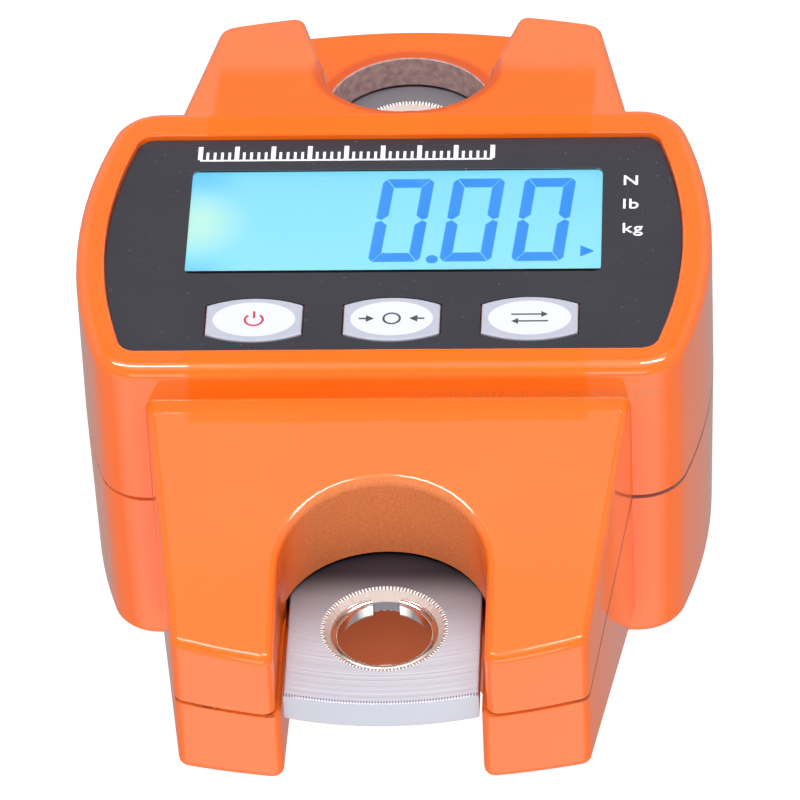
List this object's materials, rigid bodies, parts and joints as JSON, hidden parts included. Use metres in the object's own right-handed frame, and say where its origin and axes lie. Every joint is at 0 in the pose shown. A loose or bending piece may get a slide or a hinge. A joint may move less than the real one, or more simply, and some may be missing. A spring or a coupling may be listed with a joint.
{
  "type": "crane scale",
  "caption": "Hand-held crane scale: two-shell orange case with display and keys, and a flat load cell with a bushed eye at each end.",
  "frame": {"origin": "middle of the overall box at the height of the rear face, on which the scale lies", "axes": "+Z out of the display, -Y towards the lower (load) eye, +X to the right of the display"},
  "size_m": [0.09, 0.1443, 0.0495],
  "materials": {
    "orange_case": "gloss orange coat over cast metal",
    "dark_panel": "printed dark grey film, satin",
    "clear_window": "clear polished film",
    "white_plastic": "satin moulded",
    "lcd_glass": "polished glass",
    "lcd_blue": "flat",
    "backlight": "lit diffuser",
    "pink_rubber": "soft, striped",
    "circuit_board": "green solder mask",
    "black_resin": "matt",
    "screw_steel": "zinc plated",
    "black_plastic": "fine texture",
    "key_rubber": "soft satin",
    "cell_steel": "milled",
    "bush_chrome": "polished plate",
    "gauge_foil": "foil on amber film",
    "lead_cover": "satin",
    "cell_label": "plain printed sleeve",
    "contact_steel": "nickel plated",
    "red_lead": "satin"
  },
  "bodies": {
    "case": {"front_shell": "orange_case", "rear_shell": "orange_case", "overlay_panel": "dark_panel", "lcd_window": "clear_window", "lcd_frame": "white_plastic", "lcd_glass": "lcd_glass", "lcd_segments": "lcd_blue", "backlight": "backlight", "lcd_connector": "pink_rubber", "main_board": "circuit_board", "board_chips": "black_resin", "board_screws": "screw_steel", "switch_bodies": "black_resin", "load_cell": "cell_steel", "lower_eye_bush": "bush_chrome", "upper_eye_bush": "bush_chrome", "strain_gauges": "gauge_foil", "gauge_cable": "lead_cover", "cell_clamp": "screw_steel", "cell_screws": "screw_steel", "case_screws": "screw_steel", "battery_box": "black_plastic", "battery_cells": "cell_label", "battery_springs": "contact_steel", "battery_plates": "contact_steel", "battery_cable": "red_lead"},
    "on_off_button": {"switch_plunger_on_off": "black_plastic", "key_on_off": "key_rubber"},
    "tare_button": {"switch_plunger_tare": "black_plastic", "key_tare": "key_rubber"},
    "unit_button": {"switch_plunger_unit": "black_plastic", "key_unit": "key_rubber"},
    "battery_door": {"battery_cover": "orange_case"}
  },
  "joints": [
    {"name": "on_off_press", "type": "slide", "parent": "case", "child": "on_off_button", "axis": [0, 0, -1], "range_m": [0, 0.0004], "stiffness_N_per_m": 2500, "springref_m": -0.0002},
    {"name": "tare_press", "type": "slide", "parent": "case", "child": "tare_button", "axis": [0, 0, -1], "range_m": [0, 0.0004], "stiffness_N_per_m": 2500, "springref_m": -0.0002},
    {"name": "unit_press", "type": "slide", "parent": "case", "child": "unit_button", "axis": [0, 0, -1], "range_m": [0, 0.0004], "stiffness_N_per_m": 2500, "springref_m": -0.0002},
    {"name": "battery_cover_slide", "type": "slide", "parent": "case", "child": "battery_door", "axis": [0, -1, 0], "range_m": [0, 0.044]}
  ]
}
